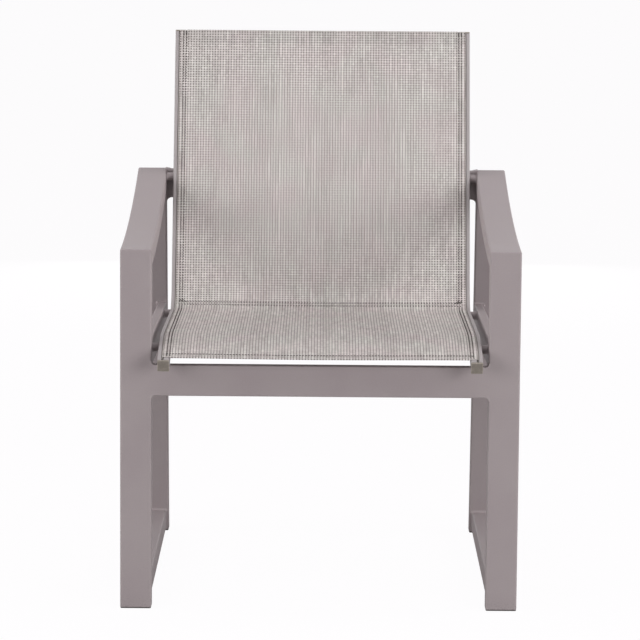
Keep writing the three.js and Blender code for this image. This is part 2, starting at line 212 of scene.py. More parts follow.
def ring_faces(points: Array, rings: int) -> tuple[Array, list[Array]]:
    """Numbers the faces of a closed tube of rings so that they face outwards.

    Its volume is the sum of the tetrahedra between the origin and each triangle. If that is below zero, the
    faces point inwards, and all are turned over.

    Args:
        points: The vertices, ring by ring, V by 3.
        rings: How many rings there are.

    Returns:
        The faces between the rings, F by 4, and the two end faces.
    """
    index = np.arange(len(points)).reshape(rings, -1)
    beside = np.roll(index, -1, axis=1)
    quads = np.stack([index[:-1], beside[:-1], beside[1:], index[1:]], axis=2).reshape(-1, 4)
    ends = [index[0][::-1], index[-1]]
    fans = [np.stack([np.full(len(end) - 2, end[0]), end[1:-1], end[2:]], axis=1) for end in ends]
    triangles = points[np.concatenate([quads[:, [0, 1, 2]], quads[:, [0, 2, 3]], *fans])]
    if (triangles[:, 0] * np.cross(triangles[:, 1], triangles[:, 2])).sum() < 0:
        return quads[:, ::-1], [end[::-1] for end in ends]
    return quads, ends


def in_scene(name: str, data: bpy.types.ID) -> Piece:
    """Puts an object that holds some data into the scene.

    Args:
        name: The object's name.
        data: Its mesh, lamp or camera.

    Returns:
        The new object.
    """
    holder = bpy.data.objects.new(name, data)
    bpy.context.scene.collection.objects.link(holder)
    return holder


def new_piece(name: str, points: Array, faces: list[list[int]], **attributes: Array) -> Piece:
    """Makes an object at the origin, shaded smooth.

    Args:
        name: The piece's name.
        points: The vertices, in any number of rows by 3.
        faces: Each face's vertices.
        **attributes: A number for each vertex, under the attribute's name.

    Returns:
        The new object.
    """
    mesh = bpy.data.meshes.new(name)
    mesh.from_pydata(points.reshape(-1, 3).tolist(), [], faces)
    mesh.shade_smooth()
    for key, values in attributes.items():
        attribute = mesh.attributes.new(key, "FLOAT", "POINT")
        attribute.data.foreach_set("value", np.ravel(values).astype(np.float32))
    return in_scene(name, mesh)


def ring_mesh(name: str, rings: Array, edge: Array | float = 0.0) -> Piece:
    """Makes a closed shape from rings of points, with a flat face on the first ring and on the last.

    Args:
        name: The piece's name.
        rings: The rings in order, R by N by 3.
        edge: How far into a rounded edge each point lies, from 0 to 1: one for all, N of them, or R by N.

    Returns:
        The new object.
    """
    quads, ends = ring_faces(rings.reshape(-1, 3), len(rings))
    faces = quads.tolist() + [end.tolist() for end in ends]
    piece = new_piece(name, rings, faces, edge=np.broadcast_to(edge, rings.shape[:2]))
    piece.data.set_sharp_from_angle(angle=SHARP_ABOVE)
    return piece


def sheet_mesh(name: str, grid: Array, flat: Array, doubled: Array, thickness: float) -> Piece:
    """Makes a sheet of cloth from a grid of points, with a UV map in metres.

    Args:
        name: The piece's name.
        grid: The points in the middle of the cloth, rows by columns by 3.
        flat: Each point's place on the flat cloth, rows by columns by 2.
        doubled: 1 for each row where the cloth lies double, and 0 for the others.
        thickness: The cloth's thickness.

    Returns:
        The new object.
    """
    rows, columns = grid.shape[:2]
    index = np.arange(rows * columns).reshape(rows, columns)
    quads = np.stack([index[:-1, :-1], index[:-1, 1:], index[1:, 1:], index[1:, :-1]], axis=2).reshape(-1, 4)
    piece = new_piece(name, grid, quads.tolist(), doubled=np.repeat(doubled, columns))
    layer = piece.data.uv_layers.new(name="cloth")
    layer.data.foreach_set("uv", flat.reshape(-1, 2)[quads.ravel()].ravel().astype(np.float32))
    wall = piece.modifiers.new("cloth thickness", "SOLIDIFY")
    wall.thickness, wall.offset = thickness, 0
    return piece


def settle(piece: Piece, material: Material, nodes: tuple[str, ...] = ()) -> Piece:
    """Dresses a finished piece and lets it ride on the chair's body.

    Args:
        piece: The finished object.
        material: Its finish.
        nodes: The CAD nodes that it stands for.

    Returns:
        The same object.
    """
    piece.data.materials.append(material)
    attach(piece, BODY)
    if nodes:
        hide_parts(*nodes)
    stands_for = ", ".join(nodes) or "no node"
    LOG.info("%s: %d faces, stands for %s", piece.name, len(piece.data.polygons), stands_for)
    return piece


# Finishes


@dataclass(frozen=True)
class Finish:
    """A finish that builds its own node material, from the inputs that each kind works out in surface.

    Fields that end in _mm are the real size of a pattern, spans map a value from the first two to the last
    two, and relief is a bump's strength and height.
    """

    name: str

    def shader(self, add: Adder) -> Node:
        """Adds a Principled shader whose normal is bumped by the height that surface gives for it.

        Args:
            add: Adds a node to the material.

        Returns:
            The shader.
        """
        surface = self.surface(add)
        strength, distance = self.relief
        bump = add("Bump", {"Height": surface["Normal"], "Strength": strength, "Distance": distance})
        return add("BsdfPrincipled", surface | {"Normal": bump})

    def material(self) -> Material:
        """Builds the material.

        Returns:
            The new node material.
        """
        material = bpy.data.materials.new(self.name)
        material.use_nodes = True
        material.node_tree.nodes.clear()
        add = partial(add_node, material.node_tree)
        add("OutputMaterial", {"Surface": self.shader(add)})
        return material


@dataclass(frozen=True)
class PowderCoat(Finish):
    """Polyester powder sprayed on aluminium tube and baked, in a taupe satin.

    The powder melts into a skin with a fine orange-peel ripple. The rounded edges are painted paler: the coat
    pulls thin there, and the rest is a painted highlight. The feet pick up scuffs.
    """

    name: str = "powder_coated_aluminium"
    colour: str = "#9a8f91"
    pale: str = "#a09697"
    thin_coat_highlight: str = "#bdb4b3"
    scuff: str = "#7d7476"
    peel_mm: float = 1.1
    cloud_mm: float = 90.0
    grain_mm: float = 2.4
    edge_highlight: float = 0.12
    clouds: Spans = (0.35, 0.65, 0.0, 0.55)
    flecks: Spans = (0.3, 0.7, 0.98, 1.02)
    scuffed_height: Spans = (0.03, 0.0, 0.0, 1.0)
    scratches: Spans = (0.5, 0.62, 0.0, 0.5)
    roughness: Spans = (0.3, 0.7, 0.5, 0.58)
    relief: Pair = (0.35, 0.05 * MM)

    def surface(self, add: Adder) -> Inputs:
        """Reads Object coordinates and the edge attribute.

        Args:
            add: Adds a node to the material.

        Returns:
            The Principled shader's inputs, with a height as its normal.
        """
        place = add("TexCoord").outputs["Object"]
        cloud = add("TexNoise", {"Vector": place, "Scale": 1000 / self.cloud_mm, "Detail": 3.0})
        grain = add("TexNoise", {"Vector": place, "Scale": 1000 / self.grain_mm, "Detail": 2.0})
        peel = add("TexNoise", {"Vector": place, "Scale": 1000 / self.peel_mm, "Detail": 1.0})
        soft = add("MapRange", spans(cloud, self.clouds))
        base = add("Mix", {"Factor": soft, 6: self.colour, 7: self.pale}, data_type="RGBA")
        fleck = add("MapRange", spans(grain, self.flecks))
        grainy = add("VectorMath", {0: base, "Scale": fleck}, operation="SCALE")
        # Painted highlight: the rounded edges mix towards a paler colour; the coat pulls thin there, and the
        # rest is a painted highlight.
        edge = add("Attribute", attribute_name="edge").outputs["Fac"]
        pale_share = add("Math", {0: edge, 1: self.edge_highlight}, operation="MULTIPLY")
        edged = add("Mix", {"Factor": pale_share, 6: grainy, 7: self.thin_coat_highlight}, data_type="RGBA")
        height = add("SeparateXYZ", {0: place}).outputs["Z"]
        low = add("MapRange", spans(height, self.scuffed_height))
        scratched = add("MapRange", spans(grain, self.scratches))
        scuffed = add("Math", {0: low, 1: scratched}, operation="MULTIPLY")
        colour = add("Mix", {"Factor": scuffed, 6: edged, 7: self.scuff}, data_type="RGBA")
        gloss = add("MapRange", spans(cloud, self.roughness))
        return {"Base Color": colour, "Roughness": gloss, "Normal": peel}


@dataclass(frozen=True)
class WovenMesh(Finish):
    """PVC-coated polyester yarn, woven open and heat-set, in white and taupe.

    The eye sees plump upright yarns that change between white and taupe in long broken streaks, crossed by
    thinner ones. The small holes where four yarns meet are painted dark, as painted shade. The real threads
    are about 1.2 mm apart, which is finer than a picture of the whole chair can show, so they are drawn 4.7
    mm and
    4.4 mm apart. Painted shade also darkens the furrows between upright yarns and the ridges between crossing
    ones, and doubled cloth is painted darker, for the shade between its two layers.
    """

    name: str = "pvc_coated_polyester_mesh"
    pale: str = "#e8e3e0"
    taupe: str = "#b7b0ae"
    hole_shade: str = "#504845"
    warm: str = "#fffafb"
    cool: str = "#fdfefc"
    pitch_mm: Pair = (4.7, 4.4)
    streak_mm: float = 45.0
    patch_mm: float = 60.0
    hole_across: Spans = (0.26, 0.4, 0.0, 1.0)
    hole_along: Spans = (0.14, 0.3, 0.0, 1.0)
    furrows: Spans = (0.25, 0.5, 0.0, 0.04)
    ridges: Spans = (0.25, 0.5, 0.0, 0.24)
    yarn_step: float = 3.7
    yarn_share: float = 0.2
    stitch_share: float = 0.35
    paleness: Spans = (0.3, 1.3, 0.0, 1.0)
    patches: Spans = (0.35, 0.65, 0.0, 1.0)
    doubled: Spans = (0.0, 1.0, 1.0, 0.88)
    roughness: Spans = (0.0, 1.0, 0.62, 0.85)
    relief: Pair = (0.4, 0.25 * MM)
    specular: float = 0.25

    def surface(self, add: Adder) -> Inputs:
        """Reads the cloth's own UV map, which is in metres, and the doubled attribute.

        Args:
            add: Adds a node to the material.

        Returns:
            The Principled shader's inputs, with a height as its normal.
        """
        cloth = add("UVMap", uv_map="cloth").outputs["UV"]
        across_mm, along_mm = self.pitch_mm
        rate = (1000 / across_mm, 1000 / along_mm, 0.0)
        cells = add("VectorMath", {0: cloth, 1: rate}, operation="MULTIPLY")
        cell = add("VectorMath", {0: cells}, operation="FLOOR")
        within = add("VectorMath", {0: cells}, operation="FRACTION")
        centred = add("VectorMath", {0: within, 1: (0.5, 0.5, 0.0)}, operation="SUBTRACT")
        off = add("VectorMath", {0: centred}, operation="ABSOLUTE")
        sides = add("SeparateXYZ", {0: off})
        across, along = sides.outputs["X"], sides.outputs["Y"]
        # Painted shade: the holes where four yarns meet, the furrows and the ridges make the mask of dark
        # gaps.
        open_across = add("MapRange", spans(across, self.hole_across))
        open_along = add("MapRange", spans(along, self.hole_along))
        hole_shade = add("Math", {0: open_across, 1: open_along}, operation="MULTIPLY")
        furrow = add("MapRange", spans(across, self.furrows))
        ridge = add("MapRange", spans(along, self.ridges))
        lines = add("Math", {0: furrow, 1: ridge}, operation="MAXIMUM")
        dark = add("Math", {0: hole_shade, 1: lines}, operation="MAXIMUM")
        number = add("SeparateXYZ", {0: cell}).outputs["X"]
        yarn = add("TexWhiteNoise", {"W": number}, noise_dimensions="1D")
        streak = (self.yarn_step, along_mm / self.streak_mm, 0.0)
        stretched = add("VectorMath", {0: cell, 1: streak}, operation="MULTIPLY")
        run = add("TexNoise", {"Vector": stretched, "Scale": 1.0, "Detail": 1.0})
        stitch = add("TexWhiteNoise", {"Vector": cell}, noise_dimensions="2D")
        lit = add("Math", {0: yarn, 1: self.yarn_share, 2: run}, operation="MULTIPLY_ADD")
        mixed = add("Math", {0: stitch, 1: self.stitch_share, 2: lit}, operation="MULTIPLY_ADD")
        pale = add("MapRange", spans(mixed, self.paleness))
        yarns = add("Mix", {"Factor": pale, 6: self.taupe, 7: self.pale}, data_type="RGBA")
        patch = add("TexNoise", {"Vector": cloth, "Scale": 1000 / self.patch_mm, "Detail": 1.0})
        blush = add("MapRange", spans(patch, self.patches))
        tint = add("Mix", {"Factor": blush, 6: self.cool, 7: self.warm}, data_type="RGBA")
        product = {"Factor": 1.0, 6: yarns, 7: tint}
        tinted = add("Mix", product, data_type="RGBA", blend_type="MULTIPLY")
        # Painted shade: doubled cloth is darkened, for the shade between its two layers.
        double = add("Attribute", attribute_name="doubled").outputs["Fac"]
        shade = add("MapRange", spans(double, self.doubled))
        shaded = add("VectorMath", {0: tinted, "Scale": shade}, operation="SCALE")
        # The dark gaps between yarns are painted shade.
        colour = add("Mix", {"Factor": dark, 6: shaded, 7: self.hole_shade}, data_type="RGBA")
        checker = add("TexChecker", {"Vector": cells, "Scale": 1.0}).outputs["Fac"]
        crown = add("Math", {0: 1.0, 1: dark}, operation="SUBTRACT")
        height = add("Math", {0: crown, 1: checker, 2: crown}, operation="MULTIPLY_ADD")
        gloss = add("MapRange", spans(dark, self.roughness))
        surface = {"Base Color": colour, "Roughness": gloss, "Normal": height}
        return surface | {"Specular IOR Level": self.specular}


@dataclass(frozen=True)
class BondedThread(Finish):
    """Bonded polyester sewing thread, twisted from three plies: a dark taupe with a fine diagonal twist."""

    name: str = "bonded_polyester_thread"
    colour: str = "#2f2826"
    pale: str = "#4a413f"
    twist_mm: float = 0.9
    slant: tuple[float, float, float] = (0.6, 0.7, 0.8)
    distortion: float = 1.0
    roughness: Spans = (0.0, 1.0, 0.6, 0.75)
    relief: Pair = (0.4, 0.1 * MM)

    def surface(self, add: Adder) -> Inputs:
        """Reads Object coordinates.

        Args:
            add: Adds a node to the material.

        Returns:
            The Principled shader's inputs, with a height as its normal.
        """
        place = add("TexCoord").outputs["Object"]
        turned = add("Mapping", {"Vector": place, "Rotation": self.slant})
        waves = {"Vector": turned, "Scale": wave_scale(self.twist_mm), "Distortion": self.distortion}
        twist = add("TexWave", waves).outputs["Fac"]
        colour = add("Mix", {"Factor": twist, 6: self.colour, 7: self.pale}, data_type="RGBA")
        gloss = add("MapRange", spans(twist, self.roughness))
        return {"Base Color": colour, "Roughness": gloss, "Normal": twist}


@dataclass(frozen=True)
class MouldedPlastic(Finish):
    """Injection-moulded plastic with a fine spark-eroded grain and faint flow marks, glossy on its edges."""

    colour: str
    pale: str
    grain_mm: float = 0.8
    flow_mm: float = 6.0
    distortion: float = 0.6
    edge_highlight: float = 0.6
    paleness: Spans = (0.35, 1.2, 0.0, 1.0)
    roughness: Spans = (0.3, 1.2, 0.6, 0.45)
    relief: Pair = (0.3, 0.05 * MM)

    def surface(self, add: Adder) -> Inputs:
        """Reads Object coordinates and the edge attribute.

        Args:
            add: Adds a node to the material.

        Returns:
            The Principled shader's inputs, with a height as its normal.
        """
        place = add("TexCoord").outputs["Object"]
        marks = {"Vector": place, "Scale": 1000 / self.flow_mm, "Detail": 2.0, "Distortion": self.distortion}
        flow = add("TexNoise", marks)
        grain = add("TexNoise", {"Vector": place, "Scale": 1000 / self.grain_mm, "Detail": 1.0})
        # Painted highlight: the edges mix towards the paler colour as a painted highlight; the flow marks add
        # real tone.
        edge = add("Attribute", attribute_name="edge").outputs["Fac"]
        pale_share = add("Math", {0: edge, 1: self.edge_highlight, 2: flow}, operation="MULTIPLY_ADD")
        light = add("MapRange", spans(pale_share, self.paleness))
        colour = add("Mix", {"Factor": light, 6: self.colour, 7: self.pale}, data_type="RGBA")
        gloss = add("MapRange", spans(pale_share, self.roughness))
        return {"Base Color": colour, "Roughness": gloss, "Normal": grain}


@dataclass(frozen=True)
class TurnedSteel(Finish):
    """Stainless steel turned on a lathe: fine rings round the axis, which runs across the chair."""

    name: str = "turned_stainless_steel"
    colour: str = "#b9b8b5"
    dull: str = "#a19f9c"
    groove_mm: float = 0.5
    stain_mm: float = 5.0
    distortion: float = 0.3
    roughness: Spans = (0.3, 0.7, 0.25, 0.4)
    relief: Pair = (0.3, 0.02 * MM)

    def surface(self, add: Adder) -> Inputs:
        """Reads Object coordinates.

        Args:
            add: Adds a node to the material.

        Returns:
            The Principled shader's inputs, with a height as its normal.
        """
        place = add("TexCoord").outputs["Object"]
        waves = {"Vector": place, "Scale": wave_scale(self.groove_mm), "Distortion": self.distortion}
        rings = add("TexWave", waves, bands_direction="X").outputs["Fac"]
        stain = add("TexNoise", {"Vector": place, "Scale": 1000 / self.stain_mm, "Detail": 2.0})
        colour = add("Mix", {"Factor": stain, 6: self.colour, 7: self.dull}, data_type="RGBA")
        gloss = add("MapRange", spans(stain, self.roughness))
        return {"Base Color": colour, "Roughness": gloss, "Normal": rings, "Metallic": 1.0}


@dataclass(frozen=True)
class StudioPaint(Finish):
    """Matt paint: white to the camera, yet it takes a little of the shadow, and it throws back grey."""

    name: str = "painted_studio_floor"
    white: str = "#fffeff"
    shade: str = "#bcbbbb"
    glow_share: float = 0.97
    roughness: float = 0.9

    def shader(self, add: Adder) -> Node:
        """Tells the camera's rays from the light's.

        Args:
            add: Adds a node to the material.

        Returns:
            The shader.
        """
        seen = add("LightPath").outputs["Is Camera Ray"]
        paint = add("Mix", {"Factor": seen, 6: self.shade, 7: self.white}, data_type="RGBA")
        surface = {"Base Color": paint, "Roughness": self.roughness, "Specular IOR Level": 0.0}
        matt = add("BsdfPrincipled", surface)
        glow = add("Emission", {"Color": self.white, "Strength": 1.0})
        share = add("Math", {0: seen, 1: self.glow_share}, operation="MULTIPLY")
        return add("MixShader", {0: share, 1: matt, 2: glow})


def wave_scale(radian_mm: float) -> float:
    """Gives the scale at which a wave texture, 20 radians a metre at scale 1, turns a radian in a length."""
    return 1000 / radian_mm / 20


def made(finish: Finish) -> Material:
    """Declares a field that holds a finish's material."""
    return field(default_factory=finish.material)


@dataclass(frozen=True)
class Finishes:
    """Every material on the chair."""

    coat: Material = made(PowderCoat())
    rail_coat: Material = made(PowderCoat("powder_coated_extrusion", colour="#9f9899", pale="#a8a2a2"))
    mesh: Material = made(WovenMesh())
    thread: Material = made(BondedThread())
    cap: Material = made(MouldedPlastic("moulded_nylon_cap", "#7b736b", "#9a9288"))
    spline: Material = made(MouldedPlastic("extruded_vinyl_spline", "#d8d4cc", "#e4e1da"))
    glide: Material = made(MouldedPlastic("moulded_nylon_glide", "#4a4544", "#66605e"))
    steel: Material = made(TurnedSteel())


# Side frames and crossbars


def fillet(weld: float, steps: int) -> tuple[Array, Array]:
    """Shapes a hollow weld fillet, from the joint to its far end.

    At an angle a from 0 to a quarter turn, it is weld times (1 - cos a) away from the joint, and stands out
    there by weld times (1 - sin a).

    Args:
        weld: The fillet's radius.
        steps: How many rings it has.

    Returns:
        How far each ring is from the joint, and how far it stands out.
    """
    angle = np.linspace(0, np.pi / 2, steps)
    return weld * (1 - np.cos(angle)), weld * (1 - np.sin(angle))


def welded_bar(outline: Outline, length: float, weld: float, bury: float) -> Array:
    """Carries an outline along a bar whose two ends flare out into fillets and go on into their neighbours.

    Args:
        outline: The bar's outline.
        length: The distance between the two parts that it joins.
        weld: The radius of the fillets.
        bury: How far each end goes into its neighbour.

    Returns:
        The rings, R by N by 3, as along, across and up.
    """
    away, out = fillet(weld, steps=6)
    start = np.concatenate([[-bury], away, [weld + MM, length / 2 - MM]])
    growth = np.concatenate([[weld], out, [0, 0]])
    along = np.concatenate([start, length - start[::-1]])
    section = outline.grown(np.concatenate([growth, growth[::-1]]))
    return np.concatenate([np.broadcast_to(along[:, None, None], (*section.shape[:2], 1)), section], axis=2)


def folded(before: Array, corner: Array, after: Array) -> Array:
    """Rounds a mitre: a curve from one point to another that leaves and arrives on lines to the corner."""
    share = np.linspace(0, 1, FOLD_STEPS)[:, None, None]
    return (1 - share) ** 2 * before + 2 * share * (1 - share) * corner + share**2 * after


@dataclass
class SideFrame:
    """One closed side of the chair: front leg, arm, raked rear leg, and the rails between the legs.

    The bead's ripple and swell are shares of its radius, swell_reach is in radii, and bead_ends is how far
    its two ends stay open. The glide's rings are heights and insets.
    """

    side: Side
    finishes: Finishes
    inner: float = 270 * MM
    outer: float = 320 * MM
    tube_depth: float = 30 * MM
    tube_corner: float = 2.6 * MM
    fold: float = 1.8 * MM
    base: float = 2.3 * MM
    arm_front: float = 584 * MM
    arm_rear: float = 663 * MM
    arm_bow: float = 2425 * MM
    length: float = 660 * MM
    rake: float = math.radians(9.76)
    arm_rings: int = 28
    rail_width: float = 40 * MM
    rail_height: float = 36 * MM
    side_rail_inset: float = 0.5 * MM
    side_rail_width: float = 15 * MM
    side_rail_height: float = 50 * MM
    side_rail_top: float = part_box("left_side_rail")[1].z
    side_rail_fall: float = math.radians(1.8)
    weld: float = 4.5 * MM
    bead: float = 2.4 * MM
    bead_rings: int = 48
    bead_sides: int = 20
    bead_step: float = 2.6 * MM
    bead_ripple: float = 0.1
    bead_swell: float = 0.8
    swell_reach: float = 1.6
    bead_ends: Pair = (0.05, 0.01)
    glide_inset: float = 0.5 * MM
    glide_rings_mm: tuple[Pair, ...] = ((0, 0.6), (0.15, 0.2), (0.5, 0), (1.6, 0), (1.9, 0.1), (2, 0.4))

    def __post_init__(self) -> None:
        """Finds the centre of the arm's arc from its two upper corners."""
        front = np.array([0, self.arm_front])
        rear = np.array([self.rear_leg_y(self.arm_rear, 0), self.arm_rear])
        chord = rear - front
        rise = math.sqrt(self.arm_bow**2 - (chord @ chord) / 4)
        upward = np.array([-chord[1], chord[0]]) / np.linalg.norm(chord)
        self.arm_centre = (front + rear) / 2 + upward * rise

    def rear_leg_y(self, height: Array, depth: Array) -> Array:
        """The rear leg's y at a height and a depth from its rear face, from the front of the legs."""
        return self.length - height * math.tan(self.rake) - depth / math.cos(self.rake)

    def arm_point(self, y: Array, depth: Array) -> Array:
        """The arm's [y, z] at y and a depth below its upper face: an arc that is bowed downwards."""
        rise = np.sqrt((self.arm_bow + depth) ** 2 - (y - self.arm_centre[0]) ** 2)
        return np.stack(np.broadcast_arrays(y, self.arm_centre[1] - rise), axis=-1)

    def rear_mitre(self, depth: Array) -> Array:
        """Finds where the rear leg's straight meets the arm's arc, both at one depth.

        Args:
            depth: The depths below the outer face.

        Returns:
            The [y, z] of each.
        """
        foot = np.stack([self.rear_leg_y(0.0, depth), np.zeros_like(depth)], axis=-1)
        up = np.array([-math.sin(self.rake), math.cos(self.rake)])
        to_centre = self.arm_centre - foot
        along = to_centre @ up
        reach = along - np.sqrt(along**2 - (to_centre**2).sum(axis=-1) + (self.arm_bow + depth) ** 2)
        return foot + up * reach[:, None]

    def build_hoop(self) -> None:
        """Builds the welded hoop: an outline goes up the front leg, along the arm and down the rear leg.

        Every point of it keeps its depth below the hoop's outer face all the way, so the mitres come where
        the leg's and the arm's lines at that depth meet.
        """
        outline = rounded_rectangle((self.inner, self.outer), (0, self.tube_depth), self.tube_corner)
        depth = outline.points[:, 1]
        base = np.full_like(depth, self.base)
        near, far = self.fold, self.fold + MM
        down, down_rear = np.array([0, -1]), np.array([math.sin(self.rake), -math.cos(self.rake)])
        front, rear = self.arm_point(depth, depth), self.rear_mitre(depth)
        share = np.linspace(0, 1, self.arm_rings)[:, None]
        arm_y = (front[:, 0] + far) + share * (rear[:, 0] - front[:, 0] - 2 * far)
        line = [
            np.stack([depth, base], axis=-1)[None],
            (front + down * far)[None],
            folded(front + down * near, front, self.arm_point(front[:, 0] + near, depth)),
            self.arm_point(arm_y, depth),
            folded(self.arm_point(rear[:, 0] - near, depth), rear, rear + down_rear * near),
            (rear + down_rear * far)[None],
            np.stack([self.rear_leg_y(self.base, depth), base], axis=-1)[None],
        ]
        y, z = np.moveaxis(np.concatenate(line), 2, 0)
        rings = points_at(self.side.value * outline.points[:, 0], y, z)
        hoop = ring_mesh(self.side.named("side_hoop"), rings, outline.edge)
        nodes = tuple(self.side.named(part) for part in ("front_leg", "arm", "rear_leg"))
        settle(hoop, self.finishes.coat, nodes)

    def build_rail(self, part: str, across: Pair, up: Pair, fall: float = 0.0) -> None:
        """Builds a rail, welded all round to both legs, its far end cut to the rear leg's rake.

        Its welds reach neither past the inner face of the legs nor below their feet.

        Args:
            part: The kind of rail.
            across: Its span from the inside outwards.
            up: Its span in height, at the front leg.
            fall: How steeply it falls to the back.
        """
        outline = rounded_rectangle(across, up, self.tube_corner)
        length = self.rear_leg_y(up[1], self.tube_depth) - self.tube_depth
        rings = welded_bar(outline, length, self.weld, self.tube_corner)
        x, height = np.moveaxis(np.maximum(rings[..., 1:], (self.inner, self.base)), 2, 0)
        share = rings[..., 0] / length
        z = height - share * length * math.tan(fall)
        y = self.tube_depth + share * (self.rear_leg_y(z, self.tube_depth) - self.tube_depth)
        name = self.side.named(part)
        rail = ring_mesh(name + "_tube", points_at(self.side.value * x, y, z), outline.edge)
        settle(rail, self.finishes.coat, (name,))

    def build_weld_bead(self) -> None:
        """Builds the bead of weld along the side rail's upper edge, on the front of the rear leg.

        It runs across the chair. Its radius ripples once each bead_step, as the welder's puddle did, swells
        as a bell curve where the run ended, at the outer corner, and closes at both ends as a square root.
        """
        near = self.inner + self.side_rail_inset
        x = np.linspace(near, near + self.side_rail_width + 2 * self.bead, self.bead_rings)
        end = near + self.side_rail_width + self.bead / 2
        ripple = 1 + self.bead_ripple * np.sin(2 * np.pi * x / self.bead_step)
        swell = 1 + self.bead_swell * np.exp(-(((x - end) / (self.swell_reach * self.bead)) ** 2))
        first, last = self.bead_ends
        closing = np.sqrt(np.clip((x[-1] - x) / self.bead, last, 1))
        closing = closing * np.sqrt(np.clip((x - x[0]) / self.bead + first, 0, 1))
        radius = (self.bead * ripple * swell * closing)[:, None]
        angle = np.linspace(0, 2 * np.pi, self.bead_sides, endpoint=False)
        top = self.side_rail_top - math.tan(self.side_rail_fall) * (self.length - 2 * self.tube_depth)
        face = self.rear_leg_y(top, self.tube_depth)
        y, z = face + radius * np.cos(angle), top + radius * np.sin(angle)
        rings = points_at(self.side.value * x[:, None], y, z)
        settle(ring_mesh(self.side.named("side_rail_weld"), rings), self.finishes.coat)

    def build_glide(self, end: str) -> None:
        """Builds the glide under one leg: a plate with a rounded rim that stands a little in from the tube.

        Args:
            end: "front" or "rear".
        """
        depths = (self.glide_inset, self.tube_depth - self.glide_inset)
        span = (self.inner + self.glide_inset, self.outer - self.glide_inset)
        outline = rounded_rectangle(span, depths, self.tube_corner)
        heights, inset = np.array(self.glide_rings_mm).T * MM
        x, depth = np.moveaxis(outline.grown(-inset), 2, 0)
        z = heights[:, None]
        y = depth if end == "front" else self.rear_leg_y(z, depth)
        name = self.side.named(f"{end}_glide")
        glide = ring_mesh(name + "_moulding", points_at(self.side.value * x, y, z), outline.edge)
        settle(glide, self.finishes.glide, (name,))

    def build(self) -> None:
        """Builds every piece of this side frame."""
        middle, half = (self.inner + self.outer) / 2, self.rail_width / 2
        near, top = self.inner + self.side_rail_inset, self.side_rail_top
        wide, low = (middle - half, middle + half), (self.base, self.base + self.rail_height)
        flat, high = (near, near + self.side_rail_width), (top - self.side_rail_height, top)
        self.build_hoop()
        self.build_rail("floor_rail", wide, low)
        self.build_rail("side_rail", flat, high, self.side_rail_fall)
        self.build_weld_bead()
        self.build_glide("front")
        self.build_glide("rear")


@dataclass
class Crossbar:
    """A flat tube that joins the two side frames, welded to the inner faces of the legs."""

    name: str
    finishes: Finishes
    reach: float = 270 * MM
    corner: float = 2.2 * MM
    weld: float = 6 * MM
    headroom: float = 6 * MM
    bury: float = 2.6 * MM

    def build(self) -> None:
        """Builds the bar where its CAD node stands, its fillets kept behind its front and under headroom."""
        low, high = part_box(self.name)
        outline = rounded_rectangle((low.y, high.y), (low.z, high.z), self.corner)
        rings = welded_bar(outline, 2 * self.reach, self.weld, self.bury) - (self.reach, 0, 0)
        rings[..., 1] = np.maximum(rings[..., 1], low.y)
        rings[..., 2] = np.minimum(rings[..., 2], high.z + self.headroom)
        bar = ring_mesh(self.name + "_tube", rings, outline.edge)
        settle(bar, self.finishes.coat, (self.name,))


# Sling rails


def arc_step(length: Array, heading: Array, turn: Array) -> Array:
    """The [y, z] from arcs' starts to ends: length * sin(turn / 2) / (turn / 2), headed halfway round."""
    reach, halfway = length * np.sinc(turn / (2 * np.pi)), heading + turn / 2
    return np.stack([reach * np.cos(halfway), reach * np.sin(halfway)], axis=1)


@dataclass(frozen=True)
class SideLine:
    """The sling's line seen from the side: runs, straights and arcs, each from a start with a heading."""

    starts: Array
    headings: Array
    lengths: Array
    turns: Array

    @classmethod
    def through(cls, start: Pair, heading: float, runs: list[Pair]) -> "SideLine":
        """Joins runs into one line.

        Args:
            start: The line's first [y, z].
            heading: Its first heading above the level.
            runs: Each run's length and turn.

        Returns:
            The line.
        """
        lengths, turns = np.array(runs).T
        headings = heading + np.concatenate([[0], np.cumsum(turns)[:-1]])
        steps = arc_step(lengths, headings, turns)
        starts = np.array(start) + np.concatenate([np.zeros((1, 2)), np.cumsum(steps, axis=0)[:-1]])
        return cls(starts, headings, lengths, turns)

    @property
    def length(self) -> float:
        """The whole line's length."""
        return float(self.lengths.sum())

    @property
    def froms(self) -> Array:
        """The distance at which each run starts."""
        return np.concatenate([[0], np.cumsum(self.lengths)[:-1]])

    def frame(self, distance: Array) -> tuple[Array, Array]:
        """Gives the points and upward normals at some distances.

        Args:
            distance: The distances along the line, S of them.

        Returns:
            The [y, z] points and the [y, z] normals, each S by 2.
        """
        run = np.clip(np.searchsorted(self.froms, distance, side="right") - 1, 0, len(self.lengths) - 1)
        into = distance - self.froms[run]
        turned = self.turns[run] * into / self.lengths[run]
        points = self.starts[run] + arc_step(into, self.headings[run], turned)
        heading = self.headings[run] + turned
        return points, np.stack([-np.sin(heading), np.cos(heading)], axis=1)

    def stations(self, start: float, end: float, spacing: float = 14 * MM, turn: float = 0.06) -> Array:
        """Chooses distances between two ends, closer together where the line bends.

        Args:
            start: The first distance.
            end: The last one.
            spacing: How far apart they are at most.
            turn: How far the line turns at most from one to the next.

        Returns:
            The distances, in order.
        """
        counts = np.ceil(np.maximum(self.lengths / spacing, np.abs(self.turns) / turn)).astype(int)
        runs = zip(counts, self.lengths, self.froms)
        inside = np.concatenate([np.arange(count) / count * length + begin for count, length, begin in runs])
        inside = inside[(inside > start + MM) & (inside < end - MM)]
        return np.concatenate([[start], inside, [end]])


